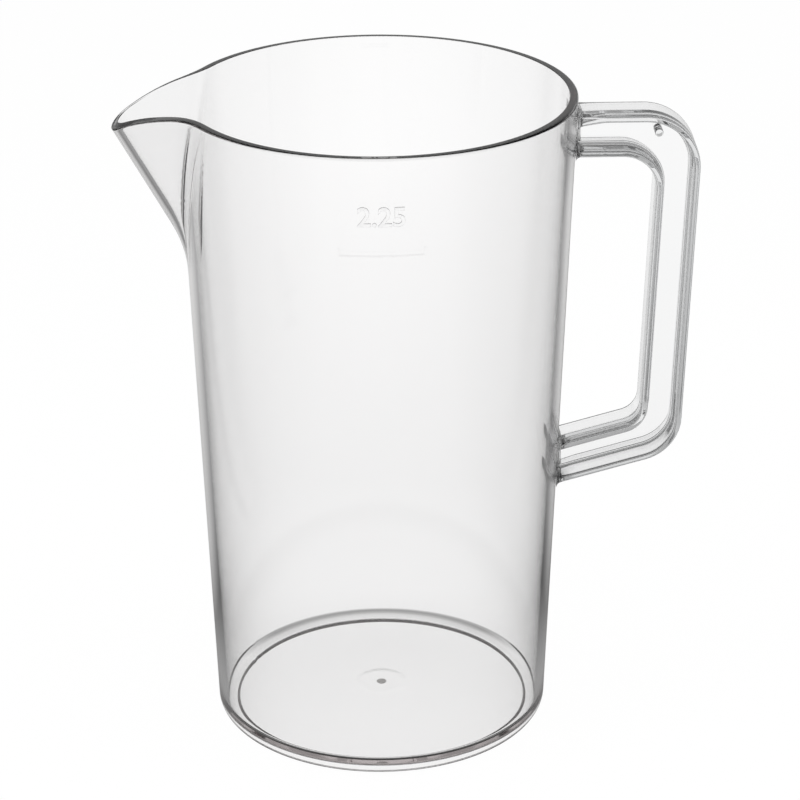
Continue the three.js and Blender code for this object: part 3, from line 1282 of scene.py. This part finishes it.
    def world(self) -> None:
        """White where the camera looks, a plain grey room for everything else."""
        world = bpy.data.worlds.new("white_surround")
        tree = bare_tree(world)
        path = add_node(tree, "LightPath")
        way = add_node(tree, "TexCoord")["Generated"]
        heading = add_node(tree, "SeparateXYZ", {0: way})
        sockets = {"Value": heading["Y"], "From Min": self.back_wall[0], "From Max": self.back_wall[1]}
        sockets |= {"To Min": self.dark, "To Max": self.back_level}
        wall = add_node(tree, "MapRange", sockets)[0]
        white = add_node(tree, "Background", {"Color": WHITE, "Strength": 1.0})[0]
        share = {0: path["Is Diffuse Ray"], 1: self.ambient}
        fill = add_node(tree, "Math", share, operation="MULTIPLY")[0]
        around = add_node(tree, "Math", {0: wall, 1: fill}, operation="MAXIMUM")[0]
        room = add_node(tree, "Background", {"Color": WHITE, "Strength": around})[0]
        mixed = add_node(tree, "MixShader", {0: self.seen(tree), 1: room, 2: white})[0]
        add_node(tree, "OutputWorld", {"Surface": mixed})
        bpy.context.scene.world = world

    def floor(self) -> Thing:
        """The pale floor, which keeps a soft shadow and glows with a painted contact shadow and a painted
        room for reflections.

        Returns:
            The floor, part of the stage.
        """
        made = bpy.data.materials.new("matt_white_floor")
        tree = bare_tree(made)
        pale = add_node(tree, "BsdfDiffuse", {"Color": linear(self.floor_colour)})[0]
        path = add_node(tree, "LightPath")
        spot = add_node(tree, "TexCoord")["Object"]
        glows = {0: self.painted_room_level(tree, spot), 1: self.painted_card_glow(tree, spot)}
        room = add_node(tree, "Math", glows, operation="MAXIMUM")[0]
        levels = {"Value": self.seen(tree), "To Min": room, "To Max": self.white_with_painted_shadow(tree, spot)}
        level = add_node(tree, "MapRange", levels)[0]
        glow = add_node(tree, "Emission", {"Color": WHITE, "Strength": level})[0]
        unseen = {0: path["Is Diffuse Ray"], 1: path["Is Shadow Ray"]}
        spared = add_node(tree, "Math", unseen, operation="MAXIMUM")[0]
        through = {"Value": spared, "To Min": self.shine_through, "To Max": 0.0}
        share = add_node(tree, "MapRange", through)[0]
        mixed = add_node(tree, "MixShader", {0: share, 1: pale, 2: glow})[0]
        add_node(tree, "OutputMaterial", {"Surface": mixed})
        made.cycles.emission_sampling = "NONE"
        half = self.floor_size / 2
        mesh = bpy.data.meshes.new("floor")
        corners = [(-half, -half), (half, -half), (half, half), (-half, half)]
        mesh.from_pydata([(x, y, -self.floor_drop) for x, y in corners], [], [(0, 1, 2, 3)])
        mesh.materials.append(made)
        ground = bpy.data.objects.new("floor", mesh)
        bpy.context.scene.collection.objects.link(ground)
        return ground

    def hang(self, lamp: SoftLamp) -> Thing:
        """Hangs one soft lamp that doesn't show in the plastic.

        Args:
            lamp: What to hang.

        Returns:
            The lamp.
        """
        data = bpy.data.lights.new(lamp.name, "AREA")
        data.shape, data.energy = "RECTANGLE", lamp.power
        data.size = data.size_y = lamp.width
        made = bpy.data.objects.new(lamp.name, data)
        made.location = lamp.spot
        made.rotation_euler = (Vector(lamp.aim) - Vector(lamp.spot)).to_track_quat("-Z", "Y").to_euler()
        made.visible_glossy = made.visible_transmission = False
        bpy.context.scene.collection.objects.link(made)
        return made

    def build(self) -> None:
        """Sets up the room and lets light run on inside thick plastic."""
        paths = bpy.context.scene.cycles
        paths.max_bounces = paths.glossy_bounces = paths.transmission_bounces = self.most_bounces
        self.world()
        self.floor()
        for lamp in self.lamps:
            self.hang(lamp)


@dataclass
class StudioCamera:
    """A long lens at the picture's viewing angle."""

    spot: Spot = (-0.0270, -0.9801, 0.55115)
    turn: float = 0.02496
    tilt: float = 0.415465
    roll: float = -0.004566
    lens: float = 135.64
    sensor: float = 36.0
    clip: float = 0.01

    def build(self) -> Thing:
        """Sets the camera up and makes it the scene's own.

        Returns:
            The camera.
        """
        data = bpy.data.cameras.new("studio_camera")
        data.sensor_width, data.lens, data.clip_start = self.sensor, self.lens, self.clip
        made = bpy.data.objects.new("studio_camera", data)
        flat = math.cos(self.tilt)
        ahead = Vector((math.sin(self.turn) * flat, math.cos(self.turn) * flat, -math.sin(self.tilt)))
        level = ahead.cross(Vector((0, 0, 1))).normalized()
        upward = level.cross(ahead)
        right = level * math.cos(self.roll) + upward * math.sin(self.roll)
        top = upward * math.cos(self.roll) - level * math.sin(self.roll)
        facing = Matrix((right, top, -ahead)).transposed().to_4x4()
        made.matrix_world = Matrix.Translation(self.spot) @ facing
        bpy.context.scene.collection.objects.link(made)
        bpy.context.scene.camera = made
        return made


def main() -> None:
    """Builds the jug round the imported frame, then the room and the camera."""
    logging.basicConfig(level=logging.INFO, format="%(name)s: %(message)s")
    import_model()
    bpy.context.scene.view_settings.view_transform = "Standard"
    wall = WallCone()
    spout = BeakSpout(wall)
    body_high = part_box(BODY_NODE)[1]
    place = JugPlace(axis_x=body_high.x - wall.radius(wall.height - JugBody.outer_edge) * MM)
    log.info("jug axis at x = %.3f mm", place.axis_x / MM)
    StudioCamera().build()
    body = JugBody(place, wall, spout, ClearMoulding("clear_san_polished_moulding"))
    thick = ClearMoulding("clear_san_handle_moulding", depth_colour="#858a8e", depth_density=20.0)
    handle = LoopHandle(place, wall, thick)
    scar = GateScar(place, body.dish_top, TornScar())
    number = MouldedNumber(place, wall, ClearMoulding("clear_san_raised_number"))
    for made in (body.build(), handle.build(), scar.build(), number.build()):
        log.info("%s: %d faces", made.name, len(made.data.polygons))
    Studio(place).build()


if __name__ == "__main__":
    main()
